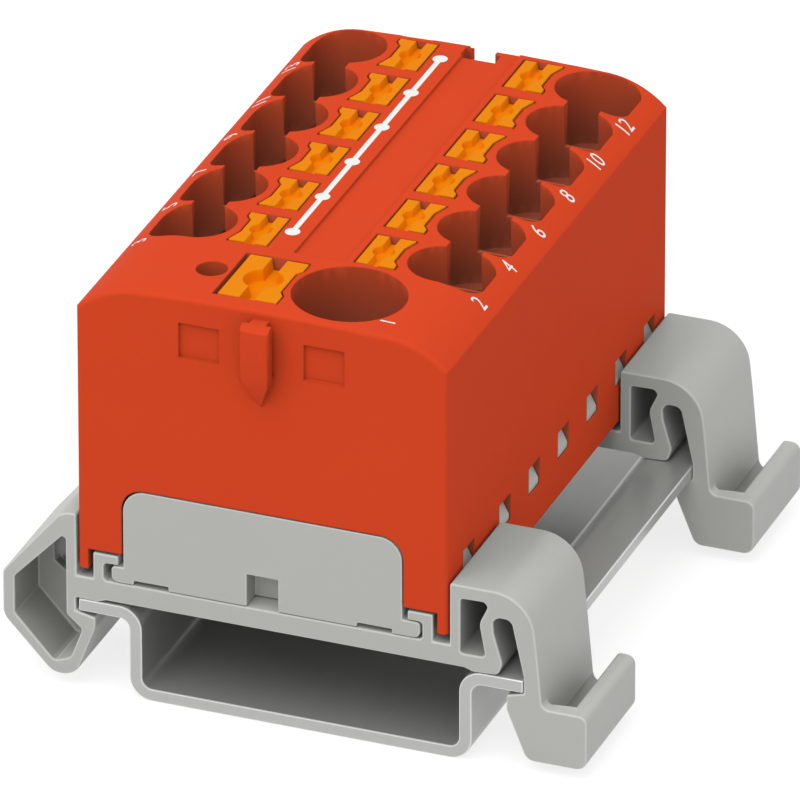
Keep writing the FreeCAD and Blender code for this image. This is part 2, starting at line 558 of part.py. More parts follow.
def housing():
    body = new_body("housing")
    profile = sketch_on(body, "front", 0, [])
    profile.addGeometry(dome_profile(), False)
    shell = grow(body, profile, BLOCK_LENGTH, both=True)
    doc.recompute()
    edges = []
    for index, edge in enumerate(shell.Shape.Edges, start=1):
        box = edge.BoundBox
        across = box.YLength < 1e-6 and abs(abs(box.YMin) - half_length) < 1e-6
        if across and box.ZMax > skirt_foot + 1e-6:
            edges.append("Edge%d" % index)
    rounding = body.newObject("PartDesign::Fillet", "housing_edges")
    rounding.Base = (shell, edges)
    rounding.setExpression("Radius", "Sizes.housing_edge")

    # The chamber, the step above the rib heads and the opening for the cover's plates
    inside = box_outline(-chamber_half, chamber_half, front + size["end_wall"], -front - size["end_wall"], 0.5)
    cut(body, sketch_on(body, "top", ceiling, [inside]), ceiling)
    step = box_outline(-skirt_half, skirt_half, front - 1, -front + 1)
    cut(body, sketch_on(body, "top", wall_foot, [step]), wall_foot)
    plate = cover_half + size["cover_gap"]
    plate_top = deck_top + size["cover_plate_top"] + size["cover_gap"]
    opening = [(-plate, skirt_foot - 1, 0), (plate, skirt_foot - 1, 0),
               (plate, plate_top, size["cover_corner"]), (-plate, plate_top, size["cover_corner"])]
    cut(body, sketch_on(body, "front", 0, [opening]), 2 * block_length, both=True)

    # Latch windows through both side walls
    sill = deck_top + size["window_sill"]
    reach = size["window_width"] / 2
    windows = [box_outline(y - reach, y + reach, sill, sill + size["window_height"]) for y in window_rows()]
    cut(body, sketch_on(body, "side", 0, windows), 2 * size["block_width"], both=True)

    # Small entries with the holes below them, then the button wells with their stem guides
    start = crown + OVERLAP
    mouth = moved(entry_outline(), 0, first_row)
    mouths = cut(body, sketch_on(body, "top", start, [mouth, mirrored(mouth)]),
                 start - ceiling - size["entry_floor"], taper="Sizes.entry_draft")
    gate = box_outline(size["gate_inner"], size["gate_outer"], first_row,
                       first_row + last_row * size["pitch"])
    cut(body, sketch_on(body, "top", start, [gate, mirrored(gate)]), size["gate_depth"] + OVERLAP)
    holes = [(side * size["entry_offset"], first_row, size["wire_hole"] / 2) for side in (-1, 1)]
    hole_start = ceiling + size["entry_floor"] + OVERLAP
    drops = cut(body, sketch_on(body, "top", hole_start, [], holes), hole_start - ceiling + OVERLAP)
    along_rows(body, [mouths, drops])
    well = small_button_outline(size["button_gap"])
    pair = [moved(well, size["button_offset"], first_row),
            moved(turned(well), -size["button_offset"], first_row)]
    wells = cut(body, sketch_on(body, "top", start, pair), start - button_seat)
    guide_x = size["stem_width"] / 2 + size["button_gap"]
    guide_y = size["stem_length"] / 2 + size["button_gap"]
    guide = moved(box_outline(-guide_x, guide_x, -guide_y, guide_y), size["button_offset"], first_row)
    guide_start = button_seat + OVERLAP
    guides = cut(body, sketch_on(body, "top", guide_start, [guide, mirrored(guide)]),
                 guide_start - ceiling + OVERLAP)
    along_rows(body, [wells, guides])

    # The large entry, its button's well and the test hole
    large = (size["large_entry_x"], front + size["large_entry_y"])
    cut(body, sketch_on(body, "top", start, [], [large + (size["large_entry_radius"],)]),
        start - ceiling - size["large_entry_floor"], taper="Sizes.entry_draft")
    cut(body, sketch_on(body, "top", hole_start, [], [large + (size["large_wire_hole"] / 2,)]),
        hole_start - ceiling + OVERLAP)
    well = moved(large_button_outline(size["button_gap"], size["large_well_side"]),
                 -size["large_button_x"], front + size["large_button_y"])
    cut(body, sketch_on(body, "top", start, [well]), start - button_seat)
    guide = moved(box_outline(-guide_x, guide_x, -guide_y, guide_y),
                  -size["large_button_x"], front + size["large_button_y"])
    cut(body, sketch_on(body, "top", guide_start, [guide]), guide_start - ceiling + OVERLAP)
    test = (-size["test_hole_x"], front + size["test_hole_y"], size["test_hole"] / 2)
    cut(body, sketch_on(body, "top", start, [], [test]), start - ceiling + OVERLAP)

    # Shallow channel along the crown
    channel = box_outline(-size["channel_left"], size["channel_right"],
                          front + size["channel_start"], -front + 1)
    cut(body, sketch_on(body, "top", crown - size["channel_depth"], [channel]), 2.0, back=True)

    # Two square recesses on the front face
    top = crown - size["square_top_drop"]
    square = box_outline(size["square_offset"] - size["square_size"] / 2,
                         size["square_offset"] + size["square_size"] / 2, top - size["square_height"], top)
    cut(body, sketch_on(body, "front", front - OVERLAP, [square, mirrored(square)]),
        size["square_depth"] + OVERLAP)

    # Coupling key on the front, and the slot that takes the next block's key at the rear
    key_top = crown - size["key_top_drop"]
    neck = size["key_neck_width"] / 2
    head = size["key_head_width"] / 2
    neck_y = front - size["key_neck_depth"]
    head_y = neck_y - size["key_head_depth"]
    inside = front + OVERLAP
    edge = size["key_edge"]
    key = [(-neck, inside, 0), (-neck, neck_y, 0), (-head, neck_y, 0), (-head, head_y + edge, 0),
           (-head + edge, head_y, 0), (head - edge, head_y, 0), (head, head_y + edge, 0), (head, neck_y, 0),
           (neck, neck_y, 0), (neck, inside, 0)]
    key_foot = key_top - size["key_height"]
    tip_foot = key_foot - size["key_tip"]
    grow(body, sketch_on(body, "top", key_foot, [key]), "Sizes.key_height")
    tip = [(inside, key_foot, 0), (head_y, key_foot, 0), (front, tip_foot, 0), (inside, tip_foot, 0)]
    grow(body, sketch_on(body, "side", 0, [tip]), "Sizes.key_head_width", both=True)
    beside_tip = [(-head, key_foot, 0), (0, tip_foot, 0), (head, key_foot, 0), (head + 1, key_foot, 0),
                  (head + 1, tip_foot - 1, 0), (-head - 1, tip_foot - 1, 0), (-head - 1, key_foot, 0)]
    cut(body, sketch_on(body, "front", front, [beside_tip]), 2 * (front - head_y), back=True)
    slant = size["key_bevel"]
    bevel = [(head_y - 1, key_top + 1, 0), (head_y - 1, key_top - slant, 0), (head_y, key_top - slant, 0),
             (head_y + slant, key_top, 0), (head_y + slant, key_top + 1, 0)]
    cut(body, sketch_on(body, "side", 0, [bevel]), "2 * Sizes.key_head_width", both=True)
    play = size["key_play"]
    lip = -front - size["key_neck_depth"] + play
    slot = [(-neck - play, -front + 1, 0), (-neck - play, lip, 0), (-head - play, lip, 0),
            (-head - play, lip - size["key_head_depth"] - 2 * play, 0),
            (head + play, lip - size["key_head_depth"] - 2 * play, 0), (head + play, lip, 0),
            (neck + play, lip, 0), (neck + play, -front + 1, 0)]
    cut(body, sketch_on(body, "top", start, [slot]), start - tip_foot)
    seat_in_block(body)
    return body


# Base cover

def base_cover():
    body = new_body("base_cover")
    plate = cover_half
    low, high = -plate - size["flange_left"], plate + size["flange_right"]
    floor = [(low, floor_foot, 0.5), (high, floor_foot, 0.5), (high, floor_top, 0.3), (low, floor_top, 0.3)]
    grow(body, sketch_on(body, "front", 0, [floor]), BLOCK_LENGTH, both=True)
    inner = plate - size["cover_side"]
    for side in (-1, 1):
        wall = box_outline(*sorted((side * inner, side * plate)), front + size["end_wall"],
                           -front - size["end_wall"])
        grow(body, sketch_on(body, "top", floor_top - OVERLAP, [wall]), bar_foot - floor_top + OVERLAP)
    face = [(-plate, floor_foot, 0), (plate, floor_foot, 0),
            (plate, deck_top + size["cover_plate_top"], size["cover_corner"]),
            (-plate, deck_top + size["cover_plate_top"], size["cover_corner"])]
    grow(body, sketch_on(body, "front", front, [face]), "Sizes.end_wall", back=True)
    grow(body, sketch_on(body, "front", -front, [face]), "Sizes.end_wall")

    # Latch lugs that reach through the housing's windows
    sill = deck_top + size["window_sill"] + size["latch_play"]
    lug_top = sill + size["window_height"] - 2 * size["latch_play"]
    tip = half_width - size["latch_play"]
    root = plate - OVERLAP
    lug = [(root, sill, 0), (tip, sill, 0), (tip, lug_top - size["latch_slope"], 0),
           (tip - size["latch_lead"], lug_top, 0), (root, lug_top, 0)]
    lug_reach = size["window_width"] / 2 - size["latch_play"]
    for y in window_rows():
        grow(body, sketch_on(body, "front", y - lug_reach, [lug, mirrored(lug)]), 2 * lug_reach, back=True)

    # The boss behind the pull notch, the notch itself and two shallow reliefs, at both ends
    notch = size["pull_notch_width"] / 2
    notch_top = floor_foot + size["pull_notch_height"]
    wall = size["pull_notch_wall"]
    boss = box_outline(-notch - wall, notch + wall, floor_foot + size["relief_height"], notch_top + wall)
    opening = box_outline(-notch, notch, floor_foot - OVERLAP, notch_top)
    relief_top = floor_foot + size["relief_height"]
    relief_edge = plate - size["relief_edge"]
    relief = box_outline(relief_edge - size["relief_width"], relief_edge, floor_foot - OVERLAP, relief_top)
    for at_front in (True, False):
        face_y = front if at_front else -front
        grow(body, sketch_on(body, "front", face_y, [boss]), size["pull_notch_depth"] + wall, back=at_front)
        cut(body, sketch_on(body, "front", face_y, [opening]), "Sizes.pull_notch_depth", back=not at_front)
        cut(body, sketch_on(body, "front", face_y, [relief, mirrored(relief)]), "Sizes.relief_depth",
            back=not at_front)
    seat_in_block(body)
    return body


# Busbar: a flat web with turned-up tabs that the springs press the conductors against

def busbar():
    body = new_body("busbar")
    half = chamber_half - size["bar_side_gap"]
    end = half_length - size["end_wall"] - size["bar_end_gap"]
    web = box_outline(-half, half, -end, end, 0.5)
    grow(body, sketch_on(body, "top", bar_foot, [web]), "Sizes.bar_sheet")
    reach = size["bar_tab_width"] / 2
    tab = box_outline(half - size["bar_sheet"], half, first_row - reach, first_row + reach)
    tabs = grow(body, sketch_on(body, "top", bar_foot, [tab, mirrored(tab)]),
                "Sizes.bar_sheet + Sizes.bar_tab_height")
    along_rows(body, [tabs])
    inner = size["large_entry_x"] + size["large_wire_hole"] / 2 + size["tab_play"]
    large_y = front + size["large_entry_y"]
    reach = size["large_spring_width"] / 2
    large_tab = box_outline(inner, inner + size["bar_sheet"], large_y - reach, large_y + reach)
    grow(body, sketch_on(body, "top", bar_foot, [large_tab]), "Sizes.bar_sheet + Sizes.bar_tab_height")
    seat_in_block(body)
    return body


# Clamp springs: foot on the bar, upright, bend and the slanted leg that grips the conductor

def spring_path(upright, foot_end, tab, sheet_size):
    lift = bar_top + sheet_size / 2
    top = ceiling - size["spring_drop"]
    tip = tab - size["spring_end_gap"]
    return [(foot_end, lift), (upright, lift), (upright, top),
            (tip, top - size["spring_fall"] * (tip - upright))]


def leg_level(path, x, sheet_size):
    """Upper face of a spring's slanted leg at a distance from the block's middle."""
    (x_low, z_low), (x_high, z_high) = path[2], path[3]
    slope = (z_high - z_low) / (x_high - x_low)
    return z_low + slope * (x - x_low) + sheet_size / 2 * math.hypot(1, slope)


def small_spring_path():
    tab = chamber_half - size["bar_side_gap"] - size["bar_sheet"]
    under_button = size["button_offset"]
    return spring_path(under_button - size["spring_back"], under_button + size["spring_foot"], tab,
                       size["spring_sheet"])


def large_spring_path():
    tab = size["large_entry_x"] + size["large_wire_hole"] / 2 + size["tab_play"]
    under_button = -size["large_button_x"]
    return spring_path(under_button - size["large_spring_back"], under_button + size["spring_foot"], tab,
                       size["large_spring_sheet"])


def clamp_spring(label, path, sheet_size, width, y, half_turn):
    body = new_body(label)
    profile = strip(path, size[sheet_size], size["spring_bend"])
    sketch = sketch_on(body, "front", 0, [profile])
    grow(body, sketch, "Sizes.%s" % width, both=True)
    body.Placement = Placement(Vector(-block_offset, y, 0), Rotation(180 if half_turn else 0, 0, 0))
    return body


# Release buttons: a head with a driver slot and cup, and a stem that reaches the spring

def button(label, outline, slot, cup, slot_x, stem_foot, x, y, half_turn):
    """slot holds the width and depth of the driver slot, cup the radius of the round cup."""
    body = new_body(label)
    grow(body, sketch_on(body, "top", button_top, [outline]), "Sizes.button_head", back=True)
    half_x = size["stem_width"] / 2
    half_y = size["stem_length"] / 2
    stem = box_outline(-half_x, half_x, -half_y, half_y)
    grow(body, sketch_on(body, "top", stem_foot, [stem]),
         button_top - size["button_head"] - stem_foot + OVERLAP)
    width, depth = slot
    bottom = width / 2 - size["slot_slant"]
    groove = [(-width / 2, button_top, 0), (-bottom, button_top - depth, 0), (bottom, button_top - depth, 0),
              (width / 2, button_top, 0), (width / 2, button_top + 1, 0), (-width / 2, button_top + 1, 0)]
    length = max(y_vertex for _, y_vertex, _ in outline)
    cut(body, sketch_on(body, "front", 0, [moved(groove, slot_x, 0)]), 4 * length, both=True)
    pit = body.newObject("PartDesign::SubtractiveCone", "%s_cup" % label)
    pit.Radius1 = cup - size["slot_slant"]
    pit.Radius2 = cup
    pit.Height = depth
    pit.AttachmentOffset = Placement(Vector(slot_x, 0, button_top - depth), Rotation())
    plane = [item for item in body.Origin.OriginFeatures if item.Role == "XY_Plane"][0]
    pit.AttachmentSupport = (plane, [""])
    pit.MapMode = "FlatFace"
    body.Placement = Placement(Vector(x - block_offset, y, 0), Rotation(180 if half_turn else 0, 0, 0))
    return body


def clamping_points():
    """The large button and spring, then the small ones in pairs from front to rear."""
    made = []
    path = large_spring_path()
    stem_edge = -size["large_button_x"] - size["stem_width"] / 2
    foot = leg_level(path, stem_edge, size["large_spring_sheet"]) + size["stem_gap"]
    made.append(clamp_spring("clamp_spring_1", path, "large_spring_sheet", "large_spring_width",
                             front + size["large_entry_y"], False))
    slot = (size["large_slot_width"], size["large_slot_depth"])
    made.append(button("button_1", large_button_outline(0), slot, size["large_cup_radius"], 0, foot,
                       -size["large_button_x"], front + size["large_button_y"], False))
    path = small_spring_path()
    stem_edge = size["button_offset"] - size["stem_width"] / 2
    foot = leg_level(path, stem_edge, size["spring_sheet"]) + size["stem_gap"]
    slot = (size["slot_width"], size["slot_depth"])
    number = 2
    for row in range(last_row + 1):
        y = first_row + row * size["pitch"]
        for side in (1, -1):
            made.append(clamp_spring("clamp_spring_%d" % number, path, "spring_sheet", "spring_width",
                                     y, side < 0))
            made.append(button("button_%d" % number, small_button_outline(0), slot, size["cup_radius"],
                               -size["slot_offset"], foot, side * size["button_offset"], y, side < 0))
            number += 1
    return made


subparts = [rail_section(), rail_adapter("rail_adapter_front", False), rail_adapter("rail_adapter_rear", True),
            housing(), base_cover(), busbar()]
subparts += clamping_points()
doc.recompute()

failed = [item.Name for item in doc.Objects if {"Invalid", "Error"} & set(item.State)]
if failed:
    raise RuntimeError("failed features: %s" % ", ".join(failed))
for part in subparts:
    if part.Shape.isNull() or not part.Shape.isValid() or len(part.Shape.Solids) != 1:
        raise RuntimeError("bad shape: %s" % part.Label)

os.makedirs("parts", exist_ok=True)
for part in subparts:
    part.Shape.exportStep("parts/%s.step" % part.Label)
    print(part.Label, round(part.Shape.Volume, 2), part.Shape.BoundBox)
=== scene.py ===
import math

import bmesh
import bpy
from bpy.props import FloatProperty, FloatVectorProperty, IntProperty, PointerProperty
from bpy.types import Operator, Panel, PropertyGroup
from mathutils import Matrix, Vector
from mathutils.bvhtree import BVHTree


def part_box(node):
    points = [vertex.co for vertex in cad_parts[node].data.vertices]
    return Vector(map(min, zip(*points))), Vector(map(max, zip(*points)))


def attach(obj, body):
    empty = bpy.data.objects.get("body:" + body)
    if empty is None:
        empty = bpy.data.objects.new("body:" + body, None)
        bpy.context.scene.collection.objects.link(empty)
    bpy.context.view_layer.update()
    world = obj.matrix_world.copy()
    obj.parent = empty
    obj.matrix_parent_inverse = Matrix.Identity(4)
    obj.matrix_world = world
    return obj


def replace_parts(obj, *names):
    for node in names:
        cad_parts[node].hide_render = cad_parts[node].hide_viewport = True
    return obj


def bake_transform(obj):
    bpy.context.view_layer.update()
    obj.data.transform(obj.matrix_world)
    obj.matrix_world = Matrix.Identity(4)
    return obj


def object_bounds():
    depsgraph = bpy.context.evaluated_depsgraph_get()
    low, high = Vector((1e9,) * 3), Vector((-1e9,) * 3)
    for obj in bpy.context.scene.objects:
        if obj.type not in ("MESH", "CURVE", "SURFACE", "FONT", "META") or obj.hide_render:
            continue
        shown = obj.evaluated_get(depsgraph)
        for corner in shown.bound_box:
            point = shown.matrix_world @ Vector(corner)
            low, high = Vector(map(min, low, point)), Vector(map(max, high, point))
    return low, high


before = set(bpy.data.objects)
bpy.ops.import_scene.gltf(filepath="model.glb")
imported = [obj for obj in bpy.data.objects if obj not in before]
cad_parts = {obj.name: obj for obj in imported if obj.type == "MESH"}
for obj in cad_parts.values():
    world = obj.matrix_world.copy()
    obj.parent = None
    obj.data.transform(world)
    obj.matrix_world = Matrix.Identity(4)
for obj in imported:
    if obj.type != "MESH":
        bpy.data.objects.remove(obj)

bl_info = {
    "name": "Push-in Distribution Block",
    "version": (1, 0, 0),
    "blender": (4, 5, 0),
    "location": "View3D > Sidebar > Distribution Block",
    "description": "Dresses a rail mounted push-in distribution block in moulded plastic and steel",
    "category": "Object",
}

MM = 0.001
WELD = 0.001 * MM
CAD_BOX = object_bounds()
CARRIER = "block"

# The block's own frame: its middle plane beside the rail's, its front face and its pitch
HOUSING_LOW, HOUSING_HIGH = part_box("housing")
BLOCK_X = (HOUSING_LOW.x + HOUSING_HIGH.x) / 2
FRONT_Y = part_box("base_cover")[0].y
ABOVE_CROWN = HOUSING_HIGH.z + 5 * MM
SMALL_ROWS = 6
FIRST_ROW_Y = sum(corner.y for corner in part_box("button_2")) / 2
LAST_ROW_Y = sum(corner.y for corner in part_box("button_12")) / 2
PITCH = (LAST_ROW_Y - FIRST_ROW_Y) / (SMALL_ROWS - 1)

# Where the printing lies. A small entry's number lies a share of the pitch in front of its row
LINE_X = BLOCK_X - 2.48 * MM
LINE_START = FRONT_Y + 12.6 * MM
LINE_END = FRONT_Y + 42.7 * MM
LARGE_NUMBER_X = BLOCK_X + 9.05 * MM
LARGE_NUMBER_Y = FRONT_Y + 2.18 * MM
SMALL_NUMBER_OUT = 13.35 * MM
SMALL_NUMBER_FORWARD = 0.46

# The camera looks at the target, and the lamp hangs above the front
TARGET = Vector((0.143, -2.9, 17.54)) * MM
KEY_PLACE = (-0.05, -0.3, 0.55)

# Sockets of a Mix node that mixes colours, and what a dressed piece's material numbers mean
MIX_FACTOR, MIX_A, MIX_B, MIX_RESULT = 0, 6, 7, 2
# Material 1 carries a painted highlight on the rounded edges, and material 2 painted shade inside hollows
# and the rail's channel.
OUTSIDE, RIM_HIGHLIGHT, INSIDE_SHADE = 0, 1, 2

BUTTONS = ["button_%d" % number for number in range(1, 14)]
SPRINGS = ["clamp_spring_%d" % number for number in range(1, 14)]
ADAPTERS = ["rail_adapter_front", "rail_adapter_rear"]


# Sizes and colours that a user may change

class HousingLooks(PropertyGroup):
    colour: FloatVectorProperty(
        name="Colour", description="Moulded red of the housing", subtype="COLOR",
        size=3, min=0, max=1, default=(0.755, 0.071, 0.021))
    # Painted shade: the entry walls take a darker red than the housing, from the wall colour just below the
    # crown to the deep colour at their floor, standing in for the shade inside the entries.
    wall_colour: FloatVectorProperty(
        name="Wall Shade Colour", description="Red of the entry walls just below the crown", subtype="COLOR",
        size=3, min=0, max=1, default=(0.69, 0.092, 0.034))
    deep_colour: FloatVectorProperty(
        name="Deep Shade Colour", description="Red of the entry walls at their floor", subtype="COLOR",
        size=3, min=0, max=1, default=(0.52, 0.122, 0.066))
    bounce: FloatVectorProperty(
        name="Bounce", description="Colour of the light that the housing throws on its neighbours",
        subtype="COLOR", size=3, min=0, max=1, default=(0.205, 0.18, 0.165))
    # Painted shade: the distance below the crown over which the entry walls darken.
    depth: FloatProperty(
        name="Depth", description="Crown to the entry floors", unit="LENGTH", min=0, default=7.4 * MM)
    edge: FloatProperty(
        name="Edge", description="Rounding of the sharp moulded edges", unit="LENGTH",
        min=0, default=0.06 * MM)
    soft_edge: FloatProperty(
        name="Soft Edge", description="Rounding that only the light shows, also on the end faces",
        unit="LENGTH", min=0, default=0.12 * MM)
    gloss: FloatProperty(
        name="Gloss", description="Strength of the plastic's reflections", min=0, max=1, default=0.008)
    roughness: FloatProperty(
        name="Roughness", description="Roughness of the moulded surface", min=0, max=1, default=0.5)


class ButtonLooks(PropertyGroup):
    colour: FloatVectorProperty(
        name="Colour", description="Moulded orange of the buttons", subtype="COLOR",
        size=3, min=0, max=1, default=(0.89, 0.262, 0.002))
    edge: FloatProperty(
        name="Edge", description="Rounding of the button edges", unit="LENGTH", min=0, default=0.05 * MM)
    gloss: FloatProperty(
        name="Gloss", description="Strength of the plastic's reflections", min=0, max=1, default=0.02)
    roughness: FloatProperty(
        name="Roughness", description="Roughness of the moulded surface", min=0, max=1, default=0.45)


class GreyLooks(PropertyGroup):
    colour: FloatVectorProperty(
        name="Colour", description="Moulded grey of the adapters and the cover", subtype="COLOR",
        size=3, min=0, max=1, default=(0.545, 0.55, 0.52))
    edge: FloatProperty(
        name="Edge", description="Rounding of the adapters' edges", unit="LENGTH", min=0, default=0.13 * MM)
    cover_edge: FloatProperty(
        name="Cover Edge", description="Rounding of the base cover's edges", unit="LENGTH", min=0,
        default=0.091 * MM)
    # Painted highlight: the rounded edges get a lighter grey, as if they caught the light.
    rim: FloatProperty(
        name="Rim Highlight", description="Tone of the rounded edges, which catch the light", min=0, default=1.25)
    # Painted shade: walls that look at their own piece close by get a darker grey.
    hollow: FloatProperty(
        name="Hollow Shade", description="Tone of the walls inside a hollow", min=0, default=0.7)
    gloss: FloatProperty(
        name="Gloss", description="Strength of the plastic's reflections", min=0, max=1, default=0.3)
    roughness: FloatProperty(
        name="Roughness", description="Roughness of the moulded surface", min=0, max=1, default=0.42)


class MetalLooks(PropertyGroup):
    rail_colour: FloatVectorProperty(
        name="Rail Colour", description="Passivated steel of the rail", subtype="COLOR",
        size=3, min=0, max=1, default=(0.52, 0.525, 0.505))
    # Painted shade: the rail's channel gets a darker steel colour than the rest of the rail.
    inside: FloatProperty(name="Inside", description="Tone of the rail's channel", min=0, default=0.7)
    rail_roughness: FloatProperty(
        name="Rail Roughness", description="Roughness of the rolled sheet", min=0, max=1, default=0.3)
    rail_metallic: FloatProperty(
        name="Rail Metallic", description="How far the dull zinc skin still looks like metal", min=0, max=1,
        default=0.4)
    edge: FloatProperty(
        name="Edge", description="Rounding of the sawn rail ends", unit="LENGTH", min=0, default=0.1 * MM)
    # The rounded rims are partly bare steel at the cut edges and partly a painted highlight, lighter than
    # the rail.
    rim_colour: FloatVectorProperty(
        name="Rim Colour", description="Bare steel of the rounded rims", subtype="COLOR",
        size=3, min=0, max=1, default=(0.82, 0.82, 0.81))
    bar_roughness: FloatProperty(
        name="Bar Roughness", description="Roughness of the busbar", min=0, max=1, default=0.35)
    bar_colour: FloatVectorProperty(
        name="Bar Colour", description="Tinned copper of the busbar", subtype="COLOR",
        size=3, min=0, max=1, default=(0.66, 0.60, 0.52))
    spring_roughness: FloatProperty(
        name="Spring Roughness", description="Roughness of the clamp springs", min=0, max=1, default=0.3)
    spring_colour: FloatVectorProperty(
        name="Spring Colour", description="Bright spring steel", subtype="COLOR",
        size=3, min=0, max=1, default=(0.55, 0.55, 0.55))


class MarkLooks(PropertyGroup):
    colour: FloatVectorProperty(
        name="Colour", description="White printing ink", subtype="COLOR",
        size=3, min=0, max=1, default=(0.93, 0.93, 0.90))
    digit_height: FloatProperty(
        name="Digit Height", description="Height of a printed digit", unit="LENGTH", min=0,
        default=1.15 * MM)
    line_width: FloatProperty(
        name="Line Width", description="Width of the printed line", unit="LENGTH", min=0, default=0.42 * MM)
    dot_width: FloatProperty(
        name="Dot Width", description="Diameter of a printed dot", unit="LENGTH", min=0, default=1.15 * MM)
    film: FloatProperty(
        name="Film", description="Thickness of the ink", unit="LENGTH", min=0, default=0.01 * MM)
    dot_lift: FloatProperty(
        name="Dot Lift", description="Ink of the dots against the line's, which they lie on", min=1,
        default=1.5)
    dots: IntProperty(
        name="Dots", description="Printed dots along the line", min=2, default=SMALL_ROWS)


class StageLooks(PropertyGroup):
    floor_colour: FloatVectorProperty(
        name="Floor Colour", description="Pale floor", subtype="COLOR",
        size=3, min=0, max=1, default=(0.6, 0.6, 0.6))
    azimuth: FloatProperty(
        name="Azimuth", description="Camera to the right of the front", subtype="ANGLE",
        default=math.radians(21.168))
    elevation: FloatProperty(
        name="Elevation", description="Camera above the horizon", subtype="ANGLE",
        default=math.radians(27.969))
    distance: FloatProperty(
        name="Distance", description="Camera from its target", unit="LENGTH", default=1.24486)
    lens: FloatProperty(name="Lens", description="Focal length in millimetres", default=756.8)
    sky: FloatProperty(name="Sky", description="Strength of the light from all round", min=0, default=0.63)
    key: FloatProperty(
        name="Key", description="Power of the large lamp above", unit="POWER", min=0, default=1.75)
    key_width: FloatProperty(
        name="Key Width", description="Width of the large lamp", unit="LENGTH", min=0, default=0.5)
    white: FloatProperty(
        name="White", description="Share of the floor that shows white through its shadow", min=0, max=1,
        default=0.78)


LOOKS = {
    "block_housing": HousingLooks,
    "block_buttons": ButtonLooks,
    "block_grey": GreyLooks,
    "block_metal": MetalLooks,
    "block_marks": MarkLooks,
    "block_stage": StageLooks,
}


# Node groups and materials

def new_group(name, inputs, outputs):
    """An empty shader node group with float inputs and the named outputs."""
    group = bpy.data.node_groups.new(name, "ShaderNodeTree")
    for socket, default in inputs:
        made = group.interface.new_socket(name=socket, in_out="INPUT", socket_type="NodeSocketFloat")
        made.default_value = default
    for socket, kind in outputs:
        group.interface.new_socket(name=socket, in_out="OUTPUT", socket_type=kind)
    return group, group.nodes.new("NodeGroupInput"), group.nodes.new("NodeGroupOutput")


def add_node(tree, kind, settings=(), values=()):
    """A node with its settings and the plain values of its sockets."""
    node = tree.nodes.new(kind)
    for name, value in dict(settings).items():
        setattr(node, name, value)
    for socket, value in dict(values).items():
        node.inputs[socket].default_value = value
    return node


def moulded_grain():
    """Fine spark texture of a mould and the faint cloudiness of moulded plastic."""
    name = "Moulded Grain"
    if name in bpy.data.node_groups:
        return bpy.data.node_groups[name]
    group, inputs, outputs = new_group(
        name,
        [("Grain", 7000.0), ("Cloud", 140.0), ("Roughness", 0.45), ("Spread", 0.05)],
        [("Height", "NodeSocketFloat"), ("Roughness", "NodeSocketFloat"), ("Tone", "NodeSocketFloat")])
    place = add_node(group, "ShaderNodeTexCoord")
    grain = add_node(group, "ShaderNodeTexNoise", values={"Detail": 2.0, "Roughness": 0.6})
    cloud = add_node(group, "ShaderNodeTexNoise", values={"Detail": 3.0, "Roughness": 0.5})
    spread = add_node(group, "ShaderNodeMath", {"operation": "MULTIPLY_ADD"})
    shift = add_node(group, "ShaderNodeMath", {"operation": "SUBTRACT"}, {1: 0.5})
    links = group.links
    links.new(place.outputs["Object"], grain.inputs["Vector"])
    links.new(place.outputs["Object"], cloud.inputs["Vector"])
    links.new(inputs.outputs["Grain"], grain.inputs["Scale"])
    links.new(inputs.outputs["Cloud"], cloud.inputs["Scale"])
    links.new(grain.outputs["Fac"], outputs.inputs["Height"])
    links.new(cloud.outputs["Fac"], shift.inputs[0])
    links.new(shift.outputs[0], spread.inputs[0])
    links.new(inputs.outputs["Spread"], spread.inputs[1])
    links.new(inputs.outputs["Roughness"], spread.inputs[2])
    links.new(spread.outputs[0], outputs.inputs["Roughness"])
    links.new(cloud.outputs["Fac"], outputs.inputs["Tone"])
    return group


def new_material(name):
    material = bpy.data.materials.new(name)
    material.use_nodes = True
    tree = material.node_tree
    return material, tree, tree.nodes["Principled BSDF"]


def shade_of(colour, factor):
    return tuple(min(1.0, channel * factor) for channel in colour) + (1.0,)


def toned(tree, tone, colour, spread, shader):
    """Let a tone from nought to one lead the shader's colour from a little darker to a little lighter."""
    mix = add_node(tree, "ShaderNodeMix", {"data_type": "RGBA"},
                   {MIX_A: shade_of(colour, 1 - spread), MIX_B: shade_of(colour, 1 + spread)})
    tree.links.new(tone, mix.inputs[MIX_FACTOR])
    tree.links.new(mix.outputs[MIX_RESULT], shader.inputs["Base Color"])


def moulded_plastic(name, colour, roughness, gloss=0.1, edge=0, grain=7000.0, relief=0.004 * MM,
                    cloud_range=0.03):
    """Satin moulded plastic: fine grain in its relief, faint clouds in its colour and gloss.

    A given edge is a rounding that only the light shows.
    """
    material, tree, shader = new_material(name)
    effect = add_node(tree, "ShaderNodeGroup", {"node_tree": moulded_grain()},
                      {"Grain": grain, "Roughness": roughness, "Spread": 0.12})
    toned(tree, effect.outputs["Tone"], colour, cloud_range, shader)
    bump = add_node(tree, "ShaderNodeBump", values={"Strength": 0.35, "Distance": relief})
    links = tree.links
    links.new(effect.outputs["Roughness"], shader.inputs["Roughness"])
    links.new(effect.outputs["Height"], bump.inputs["Height"])
    links.new(bump.outputs["Normal"], shader.inputs["Normal"])
    if edge:
        rounding = add_node(tree, "ShaderNodeBevel", {"samples": 6}, {"Radius": edge})
        links.new(rounding.outputs["Normal"], bump.inputs["Normal"])
    shader.inputs["Specular IOR Level"].default_value = gloss
    return material


